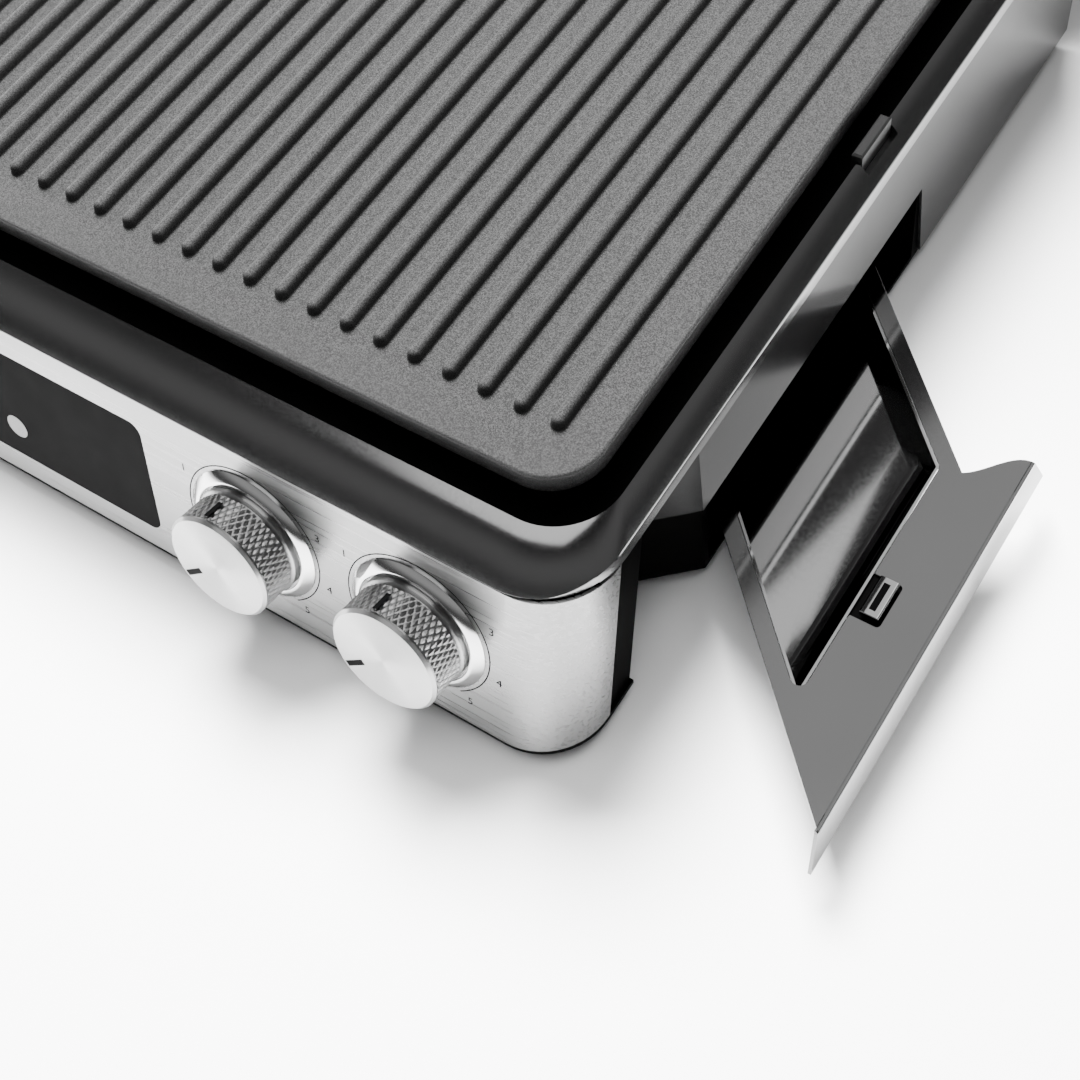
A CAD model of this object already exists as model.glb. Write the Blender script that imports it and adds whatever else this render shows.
# %% [markdown]
# A countertop contact grill that lies open, with a plate on each side of a rear hinge. Its working parts
# were modelled in a CAD program at their real size. Here they get the finish of the real object, and the
# pieces whose form shows most, such as the knurled knobs and the cooking plates, are made anew as smooth
# surfaces.

import bmesh
import bpy
import numpy as np
from mathutils import Matrix, Vector


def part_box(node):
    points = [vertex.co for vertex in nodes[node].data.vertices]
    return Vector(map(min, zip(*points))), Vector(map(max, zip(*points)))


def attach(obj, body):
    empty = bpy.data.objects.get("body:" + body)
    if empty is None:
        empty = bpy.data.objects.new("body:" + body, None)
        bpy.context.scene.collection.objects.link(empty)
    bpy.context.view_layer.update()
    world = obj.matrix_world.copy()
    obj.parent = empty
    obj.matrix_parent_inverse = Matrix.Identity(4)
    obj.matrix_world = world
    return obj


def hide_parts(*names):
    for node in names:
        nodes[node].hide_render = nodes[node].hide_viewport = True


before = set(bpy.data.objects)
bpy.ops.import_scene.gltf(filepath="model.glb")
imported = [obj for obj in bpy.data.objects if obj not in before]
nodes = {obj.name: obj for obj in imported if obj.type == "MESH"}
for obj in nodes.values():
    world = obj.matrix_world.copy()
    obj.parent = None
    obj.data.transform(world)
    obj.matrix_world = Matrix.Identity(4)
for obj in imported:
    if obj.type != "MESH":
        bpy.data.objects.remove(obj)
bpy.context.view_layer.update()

mm = 0.001


# %% [markdown]
# Every measure below is in millimetres and is read from the frame where it can be, so that a new piece sits
# where the CAD piece sits. This helper gives the two opposite corners of a CAD piece.

# %% Corners of a CAD piece
def corners(node):
    """The lowest and the highest corner of a CAD piece, in millimetres."""
    low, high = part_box(node)
    return np.array(low) / mm, np.array(high) / mm


panel_low, panel_high = corners("front_panel")
frame_low, frame_high = corners("top_frame")
front_y = panel_low[1]
print("front of the body at y =", round(front_y, 2), "mm")

# %% [markdown]
# The camera looks down over the right front corner of the grill, a little rolled, as a product photographer
# does for a lively close view. Its place and its three angles were found from the lines of the object that
# run parallel on the real thing, so the object has the photographed perspective.

# %% Camera
camera_azimuth = 45.24
camera_elevation = 58.41
camera_roll = -13.92
camera_x = 347.0
camera_before_panel = 123.6
camera_height = 438.0
focal_length = 53.7

azimuth, elevation, roll = np.radians([camera_azimuth, camera_elevation, camera_roll])
toward_camera = np.array(
    [np.sin(azimuth) * np.cos(elevation), -np.cos(azimuth) * np.cos(elevation), np.sin(elevation)]
)
level = np.array([np.cos(azimuth), np.sin(azimuth), 0.0])
camera_right = np.cos(roll) * level + np.sin(roll) * np.cross(toward_camera, level)
camera_up = np.cross(toward_camera, camera_right)
turn = Matrix(np.column_stack([camera_right, camera_up, toward_camera]).tolist())
camera = bpy.data.objects.new("camera", bpy.data.cameras.new("camera"))
camera.data.lens = focal_length
camera.data.clip_start = 0.01
camera.matrix_world = Matrix.Translation(
    Vector((camera_x, front_y - camera_before_panel, camera_height)) * mm
) @ turn.to_4x4()
bpy.context.scene.collection.objects.link(camera)
bpy.context.scene.camera = camera
print("camera at", [round(v, 3) for v in camera.matrix_world.translation])


# %% [markdown]
# A shape is a grid of points: rows and columns that numpy works out at once. This helper turns grids into
# one mesh. Each cell becomes a four-sided face, the map coordinates go with it, points that meet are
# merged, and the faces are turned outwards. Edges sharper than an angle stay crisp, and all the others are
# shaded smooth.

# %% Grids of points become a mesh
def grid_faces(points, uv, wrap):
    """Faces of one grid: cell (i, j) joins the points (i, j), (i, j+1), (i+1, j+1) and (i+1, j)."""
    rows, columns = points.shape[:2]
    i, j = np.meshgrid(np.arange(rows - 1), np.arange(columns - (not wrap)), indexing="ij")
    face_rows = np.stack([i, i, i + 1, i + 1], -1).reshape(-1, 4)
    face_columns = np.stack([j, j + 1, j + 1, j], -1).reshape(-1, 4)
    return face_rows * columns + face_columns % columns, uv[face_rows, face_columns]


def make_piece(name, patches, body, finish, caps=(), sharp=32, recalculate=True):
    """One object from several patches, each (points, uv, wrap), in millimetres. A cap is (patch, row)."""
    starts = np.cumsum([0] + [p[0].shape[0] * p[0].shape[1] for p in patches])
    made = [grid_faces(*patch) for patch in patches]
    points = np.concatenate([patch[0].reshape(-1, 3) for patch in patches]) * mm
    faces = np.concatenate([f + s for (f, _), s in zip(made, starts)])
    uvs = np.concatenate([u.reshape(-1, 2) for _, u in made])
    mesh = bpy.data.meshes.new(name)
    mesh.from_pydata(points.tolist(), [], faces.tolist())
    mesh.uv_layers.new(name="surface").data.foreach_set("uv", uvs.astype(np.float32).ravel())
    build = bmesh.new()
    build.from_mesh(mesh)
    build.verts.ensure_lookup_table()
    for index, row in caps:
        columns = patches[index][0].shape[1]
        first = starts[index] + (row % patches[index][0].shape[0]) * columns
        build.faces.new([build.verts[first + k] for k in range(columns)])
    bmesh.ops.remove_doubles(build, verts=build.verts, dist=1e-6)
    bmesh.ops.dissolve_degenerate(build, edges=build.edges, dist=1e-7)
    if recalculate:
        bmesh.ops.recalc_face_normals(build, faces=build.faces)
    build.to_mesh(mesh)
    build.free()
    mesh.shade_smooth()
    mesh.set_sharp_from_angle(angle=np.radians(sharp))
    return dress(bpy.data.objects.new(name, mesh), body, finish)


def dress(piece, body, finish):
    """Links a piece to the scene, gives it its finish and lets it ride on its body."""
    if piece.name not in bpy.context.scene.collection.objects:
        bpy.context.scene.collection.objects.link(piece)
    piece.data.materials.clear()
    piece.data.materials.append(finish)
    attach(piece, body)
    return piece


def flat_uv(points):
    """Map coordinates of a grid seen from above, in metres."""
    return points[..., :2] * mm


# %% [markdown]
# A finish is a material made of nodes. The shader's own sockets hold what is the same all over, and
# textures that are worked out in space add what varies: brushing, grain, speckle and small unevenness.
# These two helpers keep the cells below short.

# %% Helpers for finishes
def new_finish(name, color, metallic, roughness, **sockets):
    """An empty finish with one shader and its uniform values."""
    finish = bpy.data.materials.new(name)
    finish.use_nodes = True
    shader = finish.node_tree.nodes["Principled BSDF"]
    shader.inputs["Base Color"].default_value = (*color, 1)
    shader.inputs["Metallic"].default_value = metallic
    shader.inputs["Roughness"].default_value = roughness
    for socket, value in sockets.items():
        shader.inputs[socket.replace("_", " ")].default_value = value
    return finish, shader


def add_node(finish, kind, inputs, **settings):
    """Adds a node and sets its inputs, by name or number: a socket is linked and a plain value is set."""
    node = finish.node_tree.nodes.new(kind)
    for key, value in settings.items():
        setattr(node, key, value)
    for key, value in inputs.items():
        if isinstance(value, bpy.types.NodeSocket):
            finish.node_tree.links.new(value, node.inputs[key])
        else:
            node.inputs[key].default_value = value
    return node


def link(finish, output, shader, socket):
    """Links an output to the shader."""
    finish.node_tree.links.new(output, shader.inputs[socket])


def place(finish, source="Object", scale=(1, 1, 1)):
    """Stretched coordinates: a large number makes a pattern fine along that axis."""
    coordinates = add_node(finish, "ShaderNodeTexCoord", {})
    return add_node(
        finish, "ShaderNodeMapping", {"Vector": coordinates.outputs[source], "Scale": scale}
    ).outputs["Vector"]


def noise(finish, vector, scale, detail=2.0):
    """A smooth random pattern between 0 and 1."""
    return add_node(
        finish, "ShaderNodeTexNoise", {"Vector": vector, "Scale": scale, "Detail": detail}
    ).outputs["Fac"]


def spread(finish, value, low, high, from_low=0.3, from_high=0.7):
    """Maps a pattern's middle range to another range."""
    return add_node(
        finish,
        "ShaderNodeMapRange",
        {"Value": value, "From Min": from_low, "From Max": from_high, "To Min": low, "To Max": high},
    ).outputs["Result"]


def tint(finish, value, dark, light):
    """A colour between two greys, by a pattern."""
    ramp = add_node(finish, "ShaderNodeMix", {0: value, 6: (*dark, 1), 7: (*light, 1)}, data_type="RGBA")
    return ramp.outputs[2]


def bump(finish, shader, height, distance, strength=1.0):
    """Fine relief from a pattern, with its depth in metres."""
    relief = add_node(
        finish, "ShaderNodeBump", {"Height": height, "Distance": distance, "Strength": strength}
    )
    link(finish, relief.outputs["Normal"], shader, "Normal")


# %% [markdown]
# Brushed steel is sheet that a belt has scratched in one direction. Each scratch is a tiny groove, so the
# sheet shines in a broad streak across the grain. Noise that is stretched along the grain gives the streaks
# their uneven roughness, and the shader's anisotropy stretches the shine.

# %% Brushed and polished steels
# A shine stretches across the grain, a quarter turn from the tangent along it
quarter_turn = 0.25
steel_haze = 0.07
shine_stretch = 0.6


def brushed(name, color, roughness, grain, depth=0.000004):
    """Steel brushed along X: stretched noise in its roughness, colour and relief, and a tangent."""
    finish, shader = new_finish(
        name, color, 1.0, roughness, Anisotropic=shine_stretch, Anisotropic_Rotation=quarter_turn
    )
    fine = noise(finish, place(finish, scale=grain), 1.0, 3.0)
    link(finish, spread(finish, fine, roughness - steel_haze, roughness + steel_haze), shader, "Roughness")
    dark, light = [tuple(c * k for c in color) for k in (0.9, 1.06)]
    link(finish, tint(finish, fine, dark, light), shader, "Base Color")
    direction = add_node(finish, "ShaderNodeCombineXYZ", {0: 1, 1: 0, 2: 0})
    link(finish, direction.outputs[0], shader, "Tangent")
    bump(finish, shader, fine, depth)
    return finish


panel_steel = brushed("panel_steel", (0.24, 0.24, 0.24), 0.30, (6, 900, 900))
lid_steel = brushed("lid_steel", (0.36, 0.36, 0.36), 0.28, (5, 800, 800))
tube_steel = brushed("tube_steel", (0.42, 0.42, 0.42), 0.22, (4, 600, 600), 0.000002)


def polished(name, color, roughness, haze, scale, depth):
    """Steel with a soft uneven haze and very slight waves, as rolled or polished sheet has."""
    finish, shader = new_finish(name, color, 1.0, roughness)
    wide = noise(finish, place(finish), scale, 2.0)
    fine = noise(finish, place(finish), scale * 40, 2.0)
    link(finish, spread(finish, fine, roughness - haze, roughness + haze), shader, "Roughness")
    dark, light = [tuple(c * k for c in color) for k in (0.94, 1.04)]
    link(finish, tint(finish, wide, dark, light), shader, "Base Color")
    bump(finish, shader, wide, depth)
    return finish


bezel_steel = polished("bezel_steel", (0.16, 0.16, 0.16), 0.18, 0.03, 30, 0.000003)
tray_steel = polished("tray_steel", (0.15, 0.15, 0.15), 0.10, 0.015, 25, 0.000002)
bin_steel = polished("bin_steel", (0.34, 0.34, 0.34), 0.06, 0.01, 20, 0.000001)
rod_steel = polished("rod_steel", (0.60, 0.60, 0.60), 0.15, 0.03, 60, 0.000005)
foil = polished("foil", (0.80, 0.80, 0.80), 0.22, 0.05, 120, 0.00003)
tube_sheath = polished("tube_sheath", (0.18, 0.17, 0.16), 0.38, 0.08, 200, 0.00001)
zinc = polished("zinc", (0.60, 0.60, 0.60), 0.25, 0.05, 300, 0.00001)
print("steels:", [m.name for m in bpy.data.materials if m.use_nodes][-11:])

# %% [markdown]
# The plates are cast aluminium under a baked coating with mineral flakes. Under a lamp it looks like fine
# grey sand. One noise gives the orange-peel relief, and a finer one scatters the light and dark flakes.

# %% Speckled non-stick coating
coating, shader = new_finish("coating", (0.02, 0.02, 0.02), 0.0, 0.42, Specular_IOR_Level=0.15)
flakes = noise(coating, place(coating), 2600, 1.0)
peel = noise(coating, place(coating), 700, 2.0)
flake_share = spread(coating, flakes, 0, 1, 0.36, 0.68)
link(coating, tint(coating, flake_share, (0.010,) * 3, (0.024,) * 3), shader, "Base Color")
link(coating, spread(coating, flakes, 0.52, 0.36), shader, "Roughness")
bump(coating, shader, peel, 0.00006, 0.7)
print("finish:", coating.name)


# %% [markdown]
# Plastics, enamel, rubber and glass differ in colour, gloss and grain. A moulded part has a fine eroded
# grain, enamel is glossy with long slow waves, and rubber is dull. One helper makes them all.

# %% Plastics, enamel, rubber and window
def moulded(name, color, roughness, grain, depth, variation=0.06, **sockets):
    """A dark moulded surface: fine noise for its grain, and a wide noise for its uneven gloss."""
    finish, shader = new_finish(name, color, 0.0, roughness, **sockets)
    fine = noise(finish, place(finish), grain, 2.0)
    wide = noise(finish, place(finish), 14, 2.0)
    link(finish, spread(finish, wide, roughness - variation, roughness + variation), shader, "Roughness")
    dark, light = [tuple(c * k for c in color) for k in (0.8, 1.2)]
    link(finish, tint(finish, fine, dark, light), shader, "Base Color")
    bump(finish, shader, fine, depth)
    return finish


black_plastic = moulded("black_plastic", (0.006,) * 3, 0.45, 1800, 0.00002, Specular_IOR_Level=0.2)
side_paint = moulded("side_paint", (0.012,) * 3, 0.16, 1500, 0.000001, 0.02, IOR=1.2)
shell_plastic = moulded("shell_plastic", (0.0006,) * 3, 0.50, 1800, 0.00002, Specular_IOR_Level=0.01)
well_enamel = moulded("well_enamel", (0.001,) * 3, 0.30, 500, 0.00001, Specular_IOR_Level=0.08)
rubber = moulded("rubber", (0.012,) * 3, 0.75, 1500, 0.00003, Specular_IOR_Level=0.2)
window_glass = moulded("window_glass", (0.015,) * 3, 0.34, 90, 0.000002, 0.02, Specular_IOR_Level=0.0)
print_ink = moulded("print_ink", (0.001,) * 3, 0.6, 3000, 0.000002, Specular_IOR_Level=0.02)
board_lacquer = moulded("board_lacquer", (0.003, 0.010, 0.005), 0.45, 600, 0.00002)
print("finishes so far:", len(bpy.data.materials))

# %% [markdown]
# The knobs are turned from aluminium bar. A fresh facing cut leaves hair-fine circles, so light spreads at
# right angles to them and a lamp shows as two bright fans. The map coordinates of a turned piece run round
# it and along its outline, so the pattern and the tangent both follow the lathe tool.

# %% Turned aluminium
turned_metal, shader = new_finish(
    "turned_metal", (0.30, 0.30, 0.30), 1.0, 0.33, Anisotropic=0.95, Anisotropic_Rotation=quarter_turn
)
circles = noise(turned_metal, place(turned_metal, "UV", (3, 9000, 1)), 1.0, 2.0)
link(turned_metal, spread(turned_metal, circles, 0.28, 0.38), shader, "Roughness")
round_axis = add_node(turned_metal, "ShaderNodeTangent", {}, direction_type="UV_MAP", uv_map="surface")
link(turned_metal, round_axis.outputs[0], shader, "Tangent")
bump(turned_metal, shader, circles, 0.000003)

bright_metal = polished("bright_metal", (0.62, 0.62, 0.62), 0.10, 0.03, 80, 0.000003)
print("finishes:", turned_metal.name, "and", bright_metal.name)


# %% [markdown]
# The cooking frame is one pressed and polished sheet round the plate. Its outside falls from a crest at the
# opening down to the body. In front it is a wide arch. At the sides there is little room, so a slope falls
# to an upright foot. Both sections have the same number of points, and each place on the outline takes its
# own mix of the two, so that the corner, where both bands meet, stays one smooth form.

# %% Outlines with rounded corners
def outline(half, y_low, y_high, radii, steps=16):
    """Points round a rectangle with a radius for each corner, anticlockwise from the front left one."""
    turn_angles = np.linspace(0, 90, steps + 1)
    parts = []
    for k, radius in enumerate(radii):
        side = -1 if k in (0, 3) else 1
        low = k < 2
        center = (side * (half - radius), y_low + radius if low else y_high - radius)
        angle = np.radians(180 + 90 * k + turn_angles)
        parts.append(np.stack([center[0] + radius * np.cos(angle), center[1] + radius * np.sin(angle)], -1))
    return np.concatenate(parts)


def along(loop):
    """Distance along a closed loop, in metres, with one more value for the step back to its start."""
    steps = np.linalg.norm(np.roll(loop, -1, 0) - loop, axis=-1)
    return np.concatenate([[0], np.cumsum(steps)]) * mm


def at_height(plan, heights):
    """Adds heights to a set of plan outlines: plan is rows x columns x 2, heights one for each row."""
    z = np.broadcast_to(np.asarray(heights, float)[:, None], plan.shape[:2])
    return np.concatenate([plan, z[..., None]], -1)


# %% Cooking frame
well_low, well_high = corners("plate_well")
plate_low, plate_high = corners("lower_plate")
frame_half = frame_high[0]
opening_half = well_high[0] + 0.3
opening_low = well_low[1] - 0.3
opening_high = well_high[1] + 0.3
outer_loop = outline(frame_half, frame_low[1], frame_high[1], (26, 26, 0.6, 0.6))
inner_loop = outline(opening_half, opening_low, opening_high, (20, 20, 20, 20))
crest = frame_high[2]
rise = crest - frame_low[2]


def smooth_arch(start, pull, end, count=24):
    """A curve between two points, pulled toward a third one: a weighted sum of the three."""
    t = np.linspace(0, 1, count)[:, None]
    return (1 - t) ** 2 * np.array(start) + 2 * (1 - t) * t * np.array(pull) + t**2 * np.array(end)


def band_section(foot, pull):
    """Shares of the way inwards and of the rise: upright foot, arch to the crest, underside."""
    upright = [(0.0, 0.0), (0.0, foot * 0.5), (0.0, foot * 0.9)]
    arch = smooth_arch((0.004, foot), pull, (0.965, 0.992))
    underside = [(0.985, 1.0), (1.0, 0.985), (1.0, 0.95), (1.0, 0.1), (0.9, 0.0), (0.5, 0.0), (0.0, 0.0)]
    return np.concatenate([upright, arch, underside])


front_section = band_section(0.012, (0.44, 0.84))
side_section = band_section(0.38, (0.48, 0.78))
edge = np.roll(outer_loop, -1, 0) - np.roll(outer_loop, 1, 0)
in_front = outer_loop[:, 1] < (frame_low[1] + frame_high[1]) / 2
sideness = np.where(in_front, (edge[:, 1] ** 2 / (edge**2).sum(-1)) ** 2, 1.0)
section = front_section[:, None] + sideness[:, None] * (side_section - front_section)[:, None]
plan = outer_loop + section[..., :1] * (inner_loop - outer_loop)
bezel_points = np.concatenate([plan, frame_low[2] + rise * section[..., 1:]], -1)
bezel_uv = np.stack(
    np.broadcast_arrays(along(outer_loop)[None, :], np.linspace(0, 0.03, len(section))[:, None]), -1
)
bezel = make_piece("cooking_frame", [(bezel_points, bezel_uv, True)], "base", bezel_steel)
print("cooking frame:", len(bezel.data.polygons), "faces")


# %% [markdown]
# The two release tabs and the hinge towers stand in cut-outs of that frame. A boolean cut with plain blocks
# makes them, at the places that the CAD pieces give, with room for the tabs to move outwards.

# %% Cut-outs in the frame
def cut(piece, blocks):
    """Takes blocks, each given by two corners in millimetres, out of a piece."""
    for low, high in blocks:
        bpy.ops.mesh.primitive_cube_add(size=1)
        block = bpy.context.object
        block.scale = Vector(high - low) * mm
        block.location = Vector((high + low) / 2) * mm
        bpy.context.view_layer.update()
        modifier = piece.modifiers.new("cut", "BOOLEAN")
        modifier.object = block
        modifier.solver = "EXACT"
        evaluated = piece.evaluated_get(bpy.context.evaluated_depsgraph_get())
        cut_mesh = bpy.data.meshes.new_from_object(evaluated)
        piece.modifiers.clear()
        piece.data = cut_mesh
        bpy.data.objects.remove(block)
    return piece


tab_travel = 2.0
tab_gap = 0.3
tower_room_low = np.array([1, 2, 1])
tower_room_high = np.array([1, 2, 0])
blocks = []
for side, node in ((-1, "lower_release_left"), (1, "lower_release_right")):
    low, high = corners(node)
    low, high = low - tab_gap, high + tab_gap
    if side > 0:
        high[0] += tab_travel
    else:
        low[0] -= tab_travel
    blocks.append((low, high))
for node in ("hinge_tower_left", "hinge_tower_right"):
    low, high = corners(node)
    blocks.append((low - tower_room_low, high + tower_room_high))
cut(bezel, blocks)
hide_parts("top_frame")
print("blocks cut out of the frame:", len(blocks))


# %% [markdown]
# A plate is a slab with slim ribs that lift the food and brand it with stripes. Each rib is a ridge with
# round ends. Its height depends only on the distance to a line down its middle, from a crown at the line to
# a small hollow where it meets the slab, so the grid of one rib runs outwards from that line, and numpy
# lays all the copies side by side.

# %% Cooking plates
rib_count = 32
rib_pitch = 11.73
rib_end_margin = 15.4
rib_half = 2.35
rib_foot = 3.0
rib_height = 3.5
plate_corner = 17
edge_round = 1.0
under_bevel = 0.3


def slab(half, y_low, y_high, corner, z_low, z_high, rounding):
    """A slab: its outline, drawn in by a quarter circle at the top edge, down to its flat underside."""
    arc = np.radians(np.linspace(0, 90, 6))
    insets = np.concatenate([[under_bevel, 0], rounding * (1 - np.cos(arc))])
    levels = np.concatenate([[z_low, z_low + under_bevel], z_high - rounding + rounding * np.sin(arc)])
    loops = [
        outline(half - inset, y_low + inset, y_high - inset, (corner - inset,) * 4) for inset in insets
    ]
    points = at_height(np.array(loops), levels)
    uv = np.concatenate([flat_uv(points), flat_uv(points[:, :1])], 1)
    return points, uv, True


def ribs(mid_y, length, z_foot, end_steps=10):
    """Ridges: the height falls with the distance from a middle line, out to a small hollow at the foot."""
    share = np.array([0.0, 0.25, 0.45, 0.62, 0.76, 0.88, 0.97, 1.0, 1.05, 1.14])
    level = np.array([1.0, 0.985, 0.93, 0.84, 0.70, 0.48, 0.20, 0.08, 0.02, -0.01])
    angle = np.radians(np.linspace(0, 180, end_steps + 1))
    around = np.concatenate([angle, angle + np.pi])
    ends = np.where(np.arange(len(around)) <= end_steps, 1, -1)
    spine = length / 2 - rib_half
    reach = rib_half * share
    x = reach[:, None] * np.cos(around)
    y = mid_y + ends * spine + reach[:, None] * np.sin(around)
    z = np.broadcast_to(z_foot + rib_height * level[:, None], x.shape)
    one = np.stack([x, y, z], -1)
    patches = []
    for offset in (np.arange(rib_count) - (rib_count - 1) / 2) * rib_pitch:
        points = one + np.array([offset, 0, 0])
        patches.append((points, np.concatenate([flat_uv(points), flat_uv(points[:, :1])], 1), True))
    return patches


def cooking_plate(name, node, body):
    """A ribbed plate in the place of a CAD plate. In the open grill the ribs of both plates point up."""
    low, high = corners(node)
    z_face = high[2] - rib_height
    mid_y = (low[1] + high[1]) / 2
    patches = [slab(high[0], low[1], high[1], plate_corner, low[2], z_face, edge_round)]
    patches += ribs(mid_y, high[1] - low[1] - 2 * rib_end_margin, z_face)
    piece = make_piece(name, patches, body, coating, caps=((0, 0), (0, -1)), sharp=50)
    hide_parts(node)
    print(name, len(piece.data.polygons), "faces")
    return piece


cooking_plate("lower_cooking_plate", "lower_plate", "base")
cooking_plate("upper_cooking_plate", "upper_plate", "lid")


# %% [markdown]
# The knobs stand on the leaning panel. Their outline is turned round their own axis: a smooth collar, a
# groove, a barrel with a diamond knurl that gives wet fingers a hold, and a bevelled face. The knurl is
# real relief. Two sets of slanting grooves cross on the barrel, and the lower of the two heights stands.

# %% Places on the leaning panel
panel_lean = np.radians(14.5)
panel_foot = np.array([0, front_y, panel_low[2]])
panel_up = np.array([0, np.sin(panel_lean), np.cos(panel_lean)])
panel_out = np.array([0, -np.cos(panel_lean), np.sin(panel_lean)])
panel_right = np.array([1.0, 0, 0])
print("panel leans by", round(float(np.degrees(panel_lean)), 1), "degrees")


def on_panel(x, up, out):
    """Points on the panel: x to the right, up along the slope and out from its face, in millimetres."""
    x, up, out = np.broadcast_arrays(x, up, out)
    return panel_foot + x[..., None] * panel_right + up[..., None] * panel_up + out[..., None] * panel_out


def revolved(center_x, center_up, radii, levels, count):
    """A profile turned about an axis that stands on the panel: radii and levels are rows x columns."""
    angle = np.linspace(0, 2 * np.pi, count, endpoint=False)
    radii, levels = [np.broadcast_to(v, (len(v), count)) for v in (radii, levels)]
    points = on_panel(
        center_x + radii * np.cos(angle), center_up + radii * np.sin(angle), levels
    )
    row_steps = np.hypot(np.diff(radii[:, 0]), np.diff(levels[:, 0]))
    v = np.concatenate([[0], np.cumsum(row_steps)]) * mm
    u = np.linspace(0, 1, count + 1)
    return points, np.stack(np.broadcast_arrays(u[None, :], v[:, None]), -1), True


# %% Knurled knobs
knob_up = 33.5
knob_base = 0.6
knob_length = 16.0
face_radius = 18.2
collar_radius = 18.6
diamonds = 56
knurl_low = 4.2
knurl_high = 14.2
knurl_depth = 0.45
knurl_slope = 0.52


def saw(x):
    """A triangle wave between 0 and 1 with a period of 1."""
    return 1 - np.abs(2 * (x % 1) - 1)


def knob(name, node, body, center_x):
    """A knurled knob: collar, groove, crossed grooves on the barrel, bevel and face."""
    count = diamonds * 6
    angle = np.linspace(0, 1, count, endpoint=False)
    barrel = np.linspace(knurl_low, knurl_high, 31)
    pitch = 2 * np.pi * face_radius / diamonds
    turns = (barrel - knurl_low)[:, None] / pitch * knurl_slope
    relief = np.minimum(saw(angle * diamonds + turns), saw(angle * diamonds - turns))
    barrel_radii = face_radius - knurl_depth + knurl_depth * relief
    foot = np.array([[0, 0], [15.0, 0]])
    collar = collar_radius + np.array([-0.5, 0, 0, -0.5])
    collar = np.column_stack([collar, [0, 0.4, 2.9, 3.3]])
    groove = np.array([[face_radius - 0.7, 3.5], [face_radius - 0.7, knurl_low - 0.1]])
    rim_radii = face_radius - np.array([0.55, 0.05, 0, 0.9, 1.1])
    rim_levels = [knurl_high + 0.1, knurl_high + 0.25, knob_length - 0.95, knob_length - 0.05, knob_length]
    face = np.array([[12.0, knob_length], [6.0, knob_length], [0, knob_length]])
    below = np.concatenate([foot, collar, groove])
    above = np.concatenate([np.column_stack([rim_radii, rim_levels]), face])
    radii_below = np.repeat(below[:, :1], count, 1)
    radii_above = np.repeat(above[:, :1], count, 1)
    radii = np.concatenate([radii_below, barrel_radii, radii_above])
    levels = np.concatenate([below[:, 1], barrel, above[:, 1]])[:, None] + knob_base
    patch = revolved(center_x, knob_up, radii, levels, count)
    piece = make_piece(name, [patch], body, turned_metal, sharp=28)
    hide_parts(node)
    return piece


controls = (("upper_plate", "knob_upper_plate"), ("lower_plate", "knob_lower_plate"), ("timer", "knob_timer"))
knob_centers = {}
for control, body in controls:
    low, high = corners(f"{control}_knob")
    knob_centers[control] = (low[0] + high[0]) / 2
    piece = knob(f"{control}_dial", f"{control}_knob", body, knob_centers[control])
    print(piece.name, len(piece.data.polygons), "faces")


# %% [markdown]
# Round the foot of each knob sits a bright bevelled ring. It is polished, so it mirrors the knob and the
# panel.

# %% Rings
ring_radii = np.array([19.4, 19.4, 19.6, 20.4, 20.8, 23.2, 23.5, 23.5, 19.4])
ring_levels = np.array([0, 2.1, 2.35, 2.4, 2.3, 0.75, 0.45, 0, 0])
for control, _ in controls:
    patch = revolved(knob_centers[control], knob_up, ring_radii[:, None], ring_levels[:, None], 144)
    piece = make_piece(f"{control}_bezel_ring", [patch], "base", bright_metal, sharp=25)
    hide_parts(f"{control}_ring")
    print(piece.name, len(piece.data.polygons), "faces")


# %% [markdown]
# A short black line on the face and another on the barrel show how far a knob is turned. They are thin
# inlays that stand a hair above the metal and ride with the knob.

# %% Pointers
pointer_angle = np.radians(217.4)
face_line_start, face_line_end, face_line_half = 9.0, 16.6, 1.0
barrel_line_angle = np.radians(100)
barrel_line_low, barrel_line_high, barrel_line_half = 7.0, 13.5, 0.8
barrel_line_radius = 18.4
inlay_thickness = 0.06


def inlay(name, corner_points, body, finish):
    """A thin four-sided inlay: its outer face, and the same face a little deeper, joined all round."""
    outer = np.array(corner_points, float)
    inward = np.cross(outer[1] - outer[0], outer[3] - outer[0])
    inner = outer - inward / np.linalg.norm(inward) * inlay_thickness
    points = np.stack([inner, outer])
    uv = np.zeros((2, 5, 2))
    return make_piece(name, [(points, uv, True)], body, finish, caps=((0, 0), (0, 1)))


def direction_and_side(angle, half):
    """The direction at an angle on the panel, and half a line's width at right angles to it."""
    out = np.array([np.cos(angle), np.sin(angle)])
    return out, np.array([-out[1], out[0]]) * half


for control, body in controls:
    x = knob_centers[control]
    out, side = direction_and_side(pointer_angle, face_line_half)
    start, end = out * face_line_start, out * face_line_end
    face_level = knob_base + knob_length + inlay_thickness
    face_points = [
        on_panel(x + point[0], knob_up + point[1], face_level)
        for point in (start - side, end - side, end + side, start + side)
    ]
    inlay(f"{control}_face_pointer", face_points, body, print_ink)
    out, side = direction_and_side(barrel_line_angle, barrel_line_half)
    first, second = out * barrel_line_radius - side, out * barrel_line_radius + side
    low_level, high_level = knob_base + barrel_line_low, knob_base + barrel_line_high
    line_points = [
        on_panel(x + first[0], knob_up + first[1], low_level),
        on_panel(x + first[0], knob_up + first[1], high_level),
        on_panel(x + second[0], knob_up + second[1], high_level),
        on_panel(x + second[0], knob_up + second[1], low_level),
    ]
    inlay(f"{control}_barrel_pointer", line_points, body, print_ink)
print("pointers on", len(controls), "knobs")


# %% [markdown]
# Each knob has a thin printed arc round it that shows its range, and plain numbers stand beside the arc.
# Print is far thinner than a hair, so it is a flat shape a twentieth of a millimetre above the steel.

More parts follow.
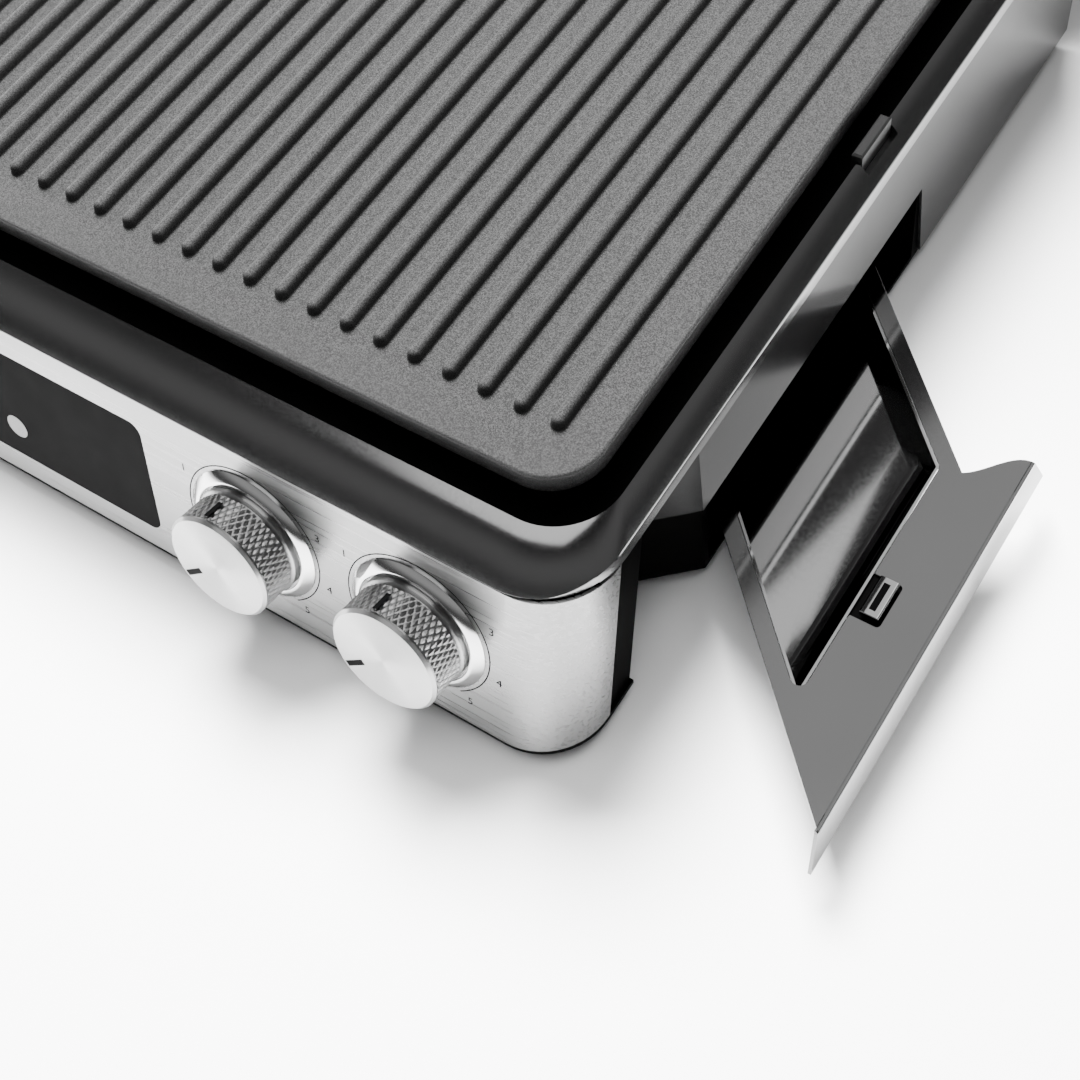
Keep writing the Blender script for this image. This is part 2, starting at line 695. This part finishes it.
# %% Printed arcs and numbers
print_level = 0.05
arc_radius = 25.0
arc_width = 0.4
arc_start, arc_end = -55, 205
arc_steps = 90


def arc_patch(center_x):
    """A flat band round a knob's centre on the panel, between two angles in degrees."""
    angle = np.radians(np.linspace(arc_start, arc_end, arc_steps))
    reach = np.array([arc_radius - arc_width / 2, arc_radius + arc_width / 2])[:, None]
    points = on_panel(center_x + reach * np.cos(angle), knob_up + reach * np.sin(angle), print_level)
    return points, flat_uv(points), False


for control, _ in controls:
    patch = arc_patch(knob_centers[control])
    make_piece(f"{control}_range_arc", [patch], "base", print_ink, recalculate=False)


def printed_number(name, text, x, up, size):
    """A number on the panel, from a text curve made a mesh, with its place in its mesh."""
    curve = bpy.data.curves.new(name, "FONT")
    curve.body = text
    curve.size = size * mm
    curve.align_x = "CENTER"
    curve.align_y = "CENTER"
    writer = bpy.data.objects.new(name + "_curve", curve)
    bpy.context.scene.collection.objects.link(writer)
    bpy.context.view_layer.update()
    mesh = bpy.data.meshes.new_from_object(writer.evaluated_get(bpy.context.evaluated_depsgraph_get()))
    bpy.data.objects.remove(writer)
    foot = on_panel(x, up, print_level) * mm
    axes = Matrix(np.column_stack([panel_right, panel_up, panel_out]).tolist()).to_4x4()
    mesh.transform(Matrix.Translation(Vector(foot)) @ axes)
    return dress(bpy.data.objects.new(name, mesh), "base", print_ink)


number_angles = {"1": 152, "3": 28, "4": -14, "5": -52}
number_size = 4.2
number_from_arc = 4.0
numbers = []
for control, _ in controls:
    for text, degrees in number_angles.items():
        reach = arc_radius + number_from_arc
        x = knob_centers[control] + reach * np.cos(np.radians(degrees))
        up = knob_up + reach * np.sin(np.radians(degrees))
        numbers.append(printed_number(f"{control}_number_{text}", text, x, up, number_size))
print("printed numbers:", len(numbers))

# %% [markdown]
# A plain pale disc at the lower end of the display is its touch field.

# %% Touch field
touch_x, touch_up, touch_radius, touch_level = -5.8, 22.7, 4.4, 0.3
disc_steps = 48
angle = np.linspace(0, 2 * np.pi, disc_steps, endpoint=False)
touch_rings = np.array([0.0, touch_radius - 0.1, touch_radius])[:, None]
touch_levels = np.array([touch_level, touch_level, touch_level - 0.1])[:, None]
disc_points = on_panel(
    touch_x + touch_rings * np.cos(angle), touch_up + touch_rings * np.sin(angle), touch_levels
)
disc_uv = np.zeros((3, disc_steps + 1, 2))
pale_print = moulded("pale_print", (0.30,) * 3, 0.5, 2500, 0.000002, Specular_IOR_Level=0.1)
disc_patches = [(disc_points, disc_uv, True)]
make_piece("touch_field", disc_patches, "base", pale_print, recalculate=False)
print("display face:", [np.round(c, 2).tolist() for c in corners("display_window")])

# %% [markdown]
# The drip trays are folded from one sheet: a deck with a cut-out, and a lip whose ends flare. The deck's
# back corner sweeps out to the lip in a soft double bend. A flat curve with a hole fills such an outline
# well.

# %% Drip tray decks
tray_sheet = 1.0
slide = 68.0
half_width = panel_high[0]
mouth_middle = 138.5
deck_half_band, bin_half_band = 36.4, 30.8
deck_past_side, bin_before_side, flare_before_side = 4, 19.5, 13
bin_length, deck_past_bin = 95, 6

# Along a slanting edge x + y stays the same, so that sum tells one edge from another
slant = np.sqrt(2)
mouth_sum = half_width + mouth_middle
front_sum = mouth_sum - deck_half_band * slant
back_sum = mouth_sum + deck_half_band * slant
bin_front_sum = mouth_sum - bin_half_band * slant
bin_back_sum = mouth_sum + bin_half_band * slant
deck_x_out = half_width + deck_past_side
bin_x_out = half_width - bin_before_side
bin_x_in = bin_x_out - bin_length
deck_x_in = bin_x_in - deck_past_bin
flare_x = half_width - flare_before_side
lip_front, lip_back, lip_flare = 83.0, 216.0, 6.5


def rounded(points, radii, steps=6):
    """A closed outline with rounded corners: each one becomes an arc between its two tangent points."""
    loop = []
    count = len(points)
    for k, radius in enumerate(radii):
        corner = np.array(points[k], float)
        if radius == 0:
            loop.append(corner[None])
            continue
        before = np.array(points[k - 1], float) - corner
        after = np.array(points[(k + 1) % count], float) - corner
        before, after = before / np.linalg.norm(before), after / np.linalg.norm(after)
        half_angle = np.arccos(np.clip(before @ after, -1, 1)) / 2
        middle = (before + after) / np.linalg.norm(before + after)
        center = corner + middle * radius / np.sin(half_angle)
        start = corner + before * radius / np.tan(half_angle) - center
        end = corner + after * radius / np.tan(half_angle) - center
        t = np.linspace(0, 1, steps + 1)[:, None]
        swing = np.arccos(np.clip(start @ end / radius**2, -1, 1))
        loop.append(center + (np.sin((1 - t) * swing) * start + np.sin(t * swing) * end) / np.sin(swing))
    return np.concatenate(loop)


def bezier(p0, p1, p2, p3, count=20):
    """A cubic curve from p0 to p3 that starts toward p1 and ends coming from p2."""
    t = np.linspace(0, 1, count)[:, None]
    return (1 - t) ** 3 * p0 + 3 * (1 - t) ** 2 * t * p1 + 3 * (1 - t) * t**2 * p2 + t**3 * p3


def pulled_out(side, loop, z):
    """Points of the shut right tray, moved out along its slant and mirrored for the left."""
    loop = np.asarray(loop, float)
    x = side * (loop[:, 0] + slide)
    return np.column_stack([x, front_y + loop[:, 1] - slide, np.full(len(loop), z)])


flare_start = np.array([flare_x, back_sum - flare_x])
flare_end = np.array([deck_x_out, lip_back])
flare = bezier(flare_start, flare_start + (6, 3.2), flare_end - (7, -1.0), flare_end)
deck_corners = [
    (deck_x_out, front_sum - deck_x_out),
    (deck_x_in, front_sum - deck_x_in),
    (deck_x_in, back_sum - deck_x_in),
]
deck_loop = np.concatenate([flare, deck_corners])
bin_corners = [
    (bin_x_out, bin_front_sum - bin_x_out),
    (bin_x_out, bin_back_sum - bin_x_out),
    (bin_x_in, bin_back_sum - bin_x_in),
    (bin_x_in, bin_front_sum - bin_x_in),
]
clip_from_bin, clip_from_lip = 5.5, 69.5
clip_middle = (bin_x_out + clip_from_bin, lip_front + clip_from_lip)
notch_half, notch_depth = 7.6, 9.2
notch = [
    (bin_x_out, clip_middle[1] - notch_half),
    (bin_x_out + notch_depth, clip_middle[1] - notch_half),
    (bin_x_out + notch_depth, clip_middle[1] + notch_half),
    (bin_x_out, clip_middle[1] + notch_half),
]
hole_radii = (2.6, 0.6, 1.2, 1.2, 0.6, 2.6, 2.6, 2.6)
hole_loop = rounded(bin_corners[:1] + notch + bin_corners[1:], hole_radii)
print("points round the deck:", len(deck_loop), "and round its cut-out:", len(hole_loop))


def flat_sheet(name, loops, thickness, edge=0.12):
    """A flat filled outline with holes, given a thickness and a small bevel, as a mesh."""
    curve = bpy.data.curves.new(name, "CURVE")
    curve.dimensions = "2D"
    curve.fill_mode = "BOTH"
    curve.extrude = (thickness / 2 - edge) * mm
    curve.bevel_depth = edge * mm
    curve.bevel_resolution = 0
    curve.offset = -edge * mm
    for loop in loops:
        spline = curve.splines.new("POLY")
        spline.points.add(len(loop) - 1)
        flat = np.column_stack([loop[:, 0] * mm, loop[:, 1] * mm, np.zeros(len(loop)), np.ones(len(loop))])
        spline.points.foreach_set("co", flat.ravel().astype(np.float32))
        spline.use_cyclic_u = True
    shape = bpy.data.objects.new(name + "_curve", curve)
    bpy.context.scene.collection.objects.link(shape)
    bpy.context.view_layer.update()
    mesh = bpy.data.meshes.new_from_object(shape.evaluated_get(bpy.context.evaluated_depsgraph_get()))
    bpy.data.objects.remove(shape)
    mesh.transform(Matrix.Translation((0, 0, (loops[0][0, 2] - thickness / 2) * mm)))
    return mesh


def join_meshes(name, meshes):
    """One mesh from several: their faces are gathered and points that meet are merged."""
    build = bmesh.new()
    for mesh in meshes:
        build.from_mesh(mesh)
    bmesh.ops.remove_doubles(build, verts=build.verts, dist=1e-6)
    joined = bpy.data.meshes.new(name)
    build.to_mesh(joined)
    build.free()
    joined.shade_smooth()
    joined.set_sharp_from_angle(angle=np.radians(20))
    return joined


# %% [markdown]
# The lip turns down over a tight bend. Its section is an arc and a straight fall that leans a little
# outwards, carried along the edge, and its ends run out in a slant.

# %% Lips
deck_low, deck_high = corners("drip_tray_right")
deck_top = 27.0
lip_drop = deck_top - deck_low[2]
lip_lean = 1.6
bend = 0.9


def lip_patch(side):
    """The lip: a section of arc and straight fall, its ends flaring with the depth below the deck."""
    arc = np.radians(np.linspace(0, 84, 7))
    x = np.concatenate([[-1.2], -bend + bend * np.sin(arc), [lip_lean]])
    z = np.concatenate([[0], -bend + bend * np.cos(arc), [-lip_drop]])
    depth = np.clip(-z / lip_drop, 0, 1)
    start = front_y + lip_front - slide - lip_flare * depth
    end = front_y + lip_back - slide + lip_flare * depth
    t = np.linspace(0, 1, 12)
    y = start[:, None] + (end - start)[:, None] * t
    x_all = np.broadcast_to(side * (deck_x_out + slide + x)[:, None], y.shape)
    z_all = np.broadcast_to((deck_top + z)[:, None], y.shape)
    points = np.stack([x_all, y, z_all], -1)
    return points, flat_uv(points), False


def thick(mesh, thickness):
    """Gives an open surface a wall on its back, so that its face stays where it is."""
    holder = bpy.data.objects.new("holder", mesh)
    bpy.context.scene.collection.objects.link(holder)
    modifier = holder.modifiers.new("wall", "SOLIDIFY")
    modifier.thickness = thickness * mm
    modifier.offset = -1
    modifier.use_even_offset = True
    bpy.context.view_layer.update()
    made = bpy.data.meshes.new_from_object(holder.evaluated_get(bpy.context.evaluated_depsgraph_get()))
    bpy.data.objects.remove(holder)
    return made


def patch_mesh(name, patches, outward):
    """A bare mesh from patches, with its faces turned to the side where outward, a direction, points."""
    starts = np.cumsum([0] + [p[0].shape[0] * p[0].shape[1] for p in patches])
    made = [grid_faces(*patch)[0] for patch in patches]
    points = np.concatenate([patch[0].reshape(-1, 3) for patch in patches]) * mm
    faces = np.concatenate([f + s for f, s in zip(made, starts)])
    mesh = bpy.data.meshes.new(name)
    mesh.from_pydata(points.tolist(), [], faces.tolist())
    build = bmesh.new()
    build.from_mesh(mesh)
    bmesh.ops.remove_doubles(build, verts=build.verts, dist=1e-6)
    bmesh.ops.recalc_face_normals(build, faces=build.faces)
    total = sum((f.normal * f.calc_area() for f in build.faces), Vector())
    if total.dot(Vector(outward)) < 0:
        bmesh.ops.reverse_faces(build, faces=build.faces)
    build.to_mesh(mesh)
    build.free()
    return mesh


for side, side_name in ((-1, "left"), (1, "right")):
    loops = [pulled_out(side, loop, deck_top) for loop in (deck_loop, hole_loop)]
    sheet = flat_sheet(f"deck_{side_name}", loops, tray_sheet)
    lip = thick(patch_mesh(f"lip_{side_name}", [lip_patch(side)], (side, 0, 0)), tray_sheet)
    tray = bpy.data.objects.new(f"tray_{side_name}", join_meshes(f"tray_{side_name}", [sheet, lip]))
    dress(tray, f"tray_{side_name}", tray_steel)
    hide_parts(f"drip_tray_{side_name}")
    print(tray.name, len(tray.data.polygons), "faces")


# %% [markdown]
# The bin under the cut-out is a drawn trough. Its outer wall runs down into the floor in one large round,
# and because it is smooth it mirrors the dark mouth of the body there, which shows as a black band. The
# section is carried along the slanting ends, and the two upright end walls close it.

# %% Grease bins
bin_wall = 0.8
bin_round = 10.0
bin_gap = 0.15
bin_under_deck = 0.05
bin_top = deck_top - bin_under_deck
bin_floor = corners("grease_bin_right")[0][2] + bin_wall


def bin_patches(side):
    """A trough: an arc and a floor as one section, and end walls between that section and the top edge."""
    gap = bin_gap + bin_wall
    arc = np.radians(np.linspace(0, 90, 16))
    x_out, x_in = bin_x_out - gap, bin_x_in + gap
    arc_x = x_out - bin_round + bin_round * np.cos(arc)
    arc_z = bin_floor + bin_round - bin_round * np.sin(arc)
    floor_x = np.linspace(x_out - bin_round - 6, x_in, 8)
    x = np.concatenate([[x_out], arc_x, floor_x, [x_in]])
    z = np.concatenate([[bin_top], arc_z, np.full_like(floor_x, bin_floor), [bin_top]])
    front = bin_front_sum - x + gap * slant
    back = bin_back_sum - x - gap * slant
    t = np.linspace(0, 1, 6)
    y = front[:, None] + (back - front)[:, None] * t
    trough = np.stack([np.broadcast_to(x[:, None], y.shape), y, np.broadcast_to(z[:, None], y.shape)], -1)
    walls = []
    for edge in (front, back):
        low_row = np.stack([x, edge, z], -1)
        high_row = np.stack([x, edge, np.full_like(x, bin_top)], -1)
        walls.append(np.stack([low_row, high_row]))
    patches = []
    for points in [trough, *walls]:
        moved = points + np.array([slide, front_y - slide, 0])
        moved = moved * np.array([side, 1, 1])
        patches.append((moved, flat_uv(moved), False))
    return patches


for side, side_name in ((-1, "left"), (1, "right")):
    trough = thick(patch_mesh(f"trough_{side_name}", bin_patches(side), (0, 0, 1)), bin_wall)
    piece = bpy.data.objects.new(f"bin_{side_name}", join_meshes(f"bin_{side_name}", [trough]))
    dress(piece, f"tray_{side_name}", bin_steel)
    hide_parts(f"grease_bin_{side_name}")
    print(piece.name, len(piece.data.polygons), "faces")

# %% [markdown]
# A small clip holds the bin. It is a strip bent into a flat loop, and it stands over a dark seat in a notch
# of the cut-out. A dark inlay on its top is its slot.

# %% Bin clips
clip_half_width, clip_half_length, clip_rise = 3, 6.5, 3
seat_half_width, seat_half_length = 5.9, 8.2
slot_half_width, slot_half_length = 1.0, 4.8


def clip_patch(side):
    """A flat loop: a rounded rectangle in the upright plane, carried along the bin's edge."""
    half, rise = clip_half_width, clip_rise
    outer = rounded([(-half, 0), (half, 0), (half, rise), (-half, rise)], (0.7,) * 4)
    inner = rounded([(-2.2, 0.8), (2.2, 0.8), (2.2, 2.2), (-2.2, 2.2)], (0.4,) * 4)
    ends = np.array([-1, 1, 1, -1, -1]) * clip_half_length
    loops = np.array([outer, outer, inner, inner, outer])
    y = np.broadcast_to(clip_middle[1] + ends[:, None], loops.shape[:2])
    grid = np.stack([clip_middle[0] + loops[..., 0], y, deck_top + loops[..., 1]], -1)
    moved = (grid + np.array([slide, front_y - slide, 0])) * np.array([side, 1, 1])
    return moved, np.concatenate([flat_uv(moved), flat_uv(moved[:, :1])], 1), True


for side, side_name in ((-1, "left"), (1, "right")):
    make_piece(f"bin_clip_{side_name}", [clip_patch(side)], f"tray_{side_name}", bin_steel)
    x, y = clip_middle[0] + slide, front_y + clip_middle[1] - slide
    dark_parts = (
        ("seat", seat_half_width, seat_half_length, deck_top - tray_sheet),
        ("slot", slot_half_width, slot_half_length, deck_top + clip_rise + inlay_thickness),
    )
    for part, half_x, half_y, z in dark_parts:
        around = ((-1, -1), (1, -1), (1, 1), (-1, 1))
        dark_corners = [(side * (x + i * half_x), y + j * half_y, z) for i, j in around]
        if side < 0:
            dark_corners.reverse()
        inlay(f"clip_{part}_{side_name}", dark_corners, f"tray_{side_name}", shell_plastic)
print("clip at", round(x, 1), round(y, 1), "mm on both sides")

# %% [markdown]
# The other CAD pieces keep their form and only get their finish, by the material slots that they already
# have. The list says which finish each piece takes.

# %% Finishes of the CAD pieces
finish_of = {
    "front_panel": panel_steel,
    "side_cover_left": side_paint,
    "side_cover_right": side_paint,
    "lid_shell": lid_steel,
    "lid_rim": bezel_steel,
    "handle_bar": tube_steel,
    "hinge_rod": rod_steel,
    "lid_arm_left": rod_steel,
    "lid_arm_right": rod_steel,
    "start_button": turned_metal,
    "lower_reflector": foil,
    "upper_reflector": foil,
    "lower_element": tube_sheath,
    "upper_element": tube_sheath,
    "lower_sensor": tube_sheath,
    "upper_sensor": tube_sheath,
    "base_pan": shell_plastic,
    "control_housing": shell_plastic,
    "tray_rails_left": shell_plastic,
    "tray_rails_right": shell_plastic,
    "plate_well": well_enamel,
    "upper_well": well_enamel,
    "display_window": window_glass,
    "display_module": board_lacquer,
    "control_board": board_lacquer,
    "front_feet": rubber,
    "rear_feet": rubber,
    "lid_feet": rubber,
    "base_screws": zinc,
    "upper_plate_spindle": rod_steel,
    "lower_plate_spindle": rod_steel,
    "timer_spindle": rod_steel,
}
for name, node in nodes.items():
    node.data.materials.clear()
    node.data.materials.append(finish_of.get(name, black_plastic))
print("black plastic:", sorted(set(nodes) - set(finish_of))[:6], "and more")

# %% [markdown]
# The photograph was taken on a white table with large soft lamps. A strong lamp behind and above throws the
# soft shadow forward. Polished pieces would mirror it as a glaring spot, so it is hidden from reflections,
# and they mirror wide dim lamps instead: one over the front, one over the side, one over the tray and one
# from the left. Between them the room stays darker, and polished pieces show that darkness as grey and
# black. The floor is pale round the object and gets darker further out, as a table does where the lamps
# don't reach.

# %% Floor, surroundings and lamps
floor_size = 6000
floor_finish, shader = new_finish("floor_finish", (0.86, 0.86, 0.86), 0.0, 0.55)
lit_center = (0.20, -0.50, 0)
from_center = add_node(
    floor_finish, "ShaderNodeVectorMath", {0: place(floor_finish), 1: lit_center}, operation="DISTANCE"
).outputs["Value"]
link(
    floor_finish,
    tint(floor_finish, spread(floor_finish, from_center, 0, 1, 0.30, 0.68), (0.86,) * 3, (0.15,) * 3),
    shader,
    "Base Color",
)
floor_mesh = bpy.data.meshes.new("floor")
reach = floor_size / 2 * mm
floor_corners = [(-reach, -reach, 0), (reach, -reach, 0), (reach, reach, 0), (-reach, reach, 0)]
floor_mesh.from_pydata(floor_corners, [], [(0, 1, 2, 3)])
floor_mesh.materials.append(floor_finish)
floor = bpy.data.objects.new("floor", floor_mesh)
bpy.context.scene.collection.objects.link(floor)

world = bpy.data.worlds.new("surroundings")
world.use_nodes = True
bpy.context.scene.world = world


def world_node(kind, inputs, **settings):
    """Adds a node to the surroundings, in the same way as for a finish."""
    return add_node(world, kind, inputs, **settings)


ray = world_node("ShaderNodeTexCoord", {}).outputs["Generated"]
height = world_node("ShaderNodeSeparateXYZ", {0: ray}).outputs["Z"]


def sky_step(start, end, low, high):
    """A smooth change of the sky between two heights of the view ray."""
    return world_node(
        "ShaderNodeMapRange",
        {"Value": height, "From Min": start, "From Max": end, "To Min": low, "To Max": high},
        interpolation_type="SMOOTHSTEP",
    ).outputs["Result"]


brighter_upwards = sky_step(0.05, 0.40, 0.08, 0.40)
darker_overhead = sky_step(0.50, 0.85, 1.0, 0.15)
band = world_node(
    "ShaderNodeMath", {0: brighter_upwards, 1: darker_overhead}, operation="MULTIPLY"
).outputs[0]
sky = world.node_tree.nodes["Background"]
sky.inputs["Color"].default_value = (1, 1, 1, 1)
world.node_tree.links.new(band, sky.inputs["Strength"])


def soft_lamp(name, location, size, power, twist=0.0, target=None, mirrored=True):
    """A lamp, wide and long in metres. It faces a target, or straight down, and is twisted in its plane."""
    lamp = bpy.data.objects.new(name, bpy.data.lights.new(name, "AREA"))
    lamp.data.shape = "RECTANGLE"
    lamp.data.size, lamp.data.size_y = size
    lamp.data.energy = power
    lamp.visible_glossy = mirrored
    aim = Vector((0, 0, -1)) if target is None else Vector(target) - Vector(location)
    facing = aim.to_track_quat("-Z", "Y").to_matrix()
    lamp.matrix_world = Matrix.Translation(location) @ (facing @ Matrix.Rotation(twist, 3, "Z")).to_4x4()
    bpy.context.scene.collection.objects.link(lamp)
    return lamp


soft_lamp("main_lamp", (-0.40, 0.48, 1.42), (0.8, 0.8), 440, target=(0.15, -0.3, 0), mirrored=False)
soft_lamp("front_card", (0.10, -0.42, 1.25), (1.1, 0.95), 13)
soft_lamp("side_card", (0.60, 0.45, 1.25), (0.4, 0.7), 3.5)
soft_lamp("tray_card", (0.224, 0.40, 1.24), (0.62, 0.80), 2.2, twist=np.radians(-11))
soft_lamp("left_card", (-1.3, 0.2, 0.55), (1.2, 0.7), 16, target=(0.2, -0.1, 0.1))
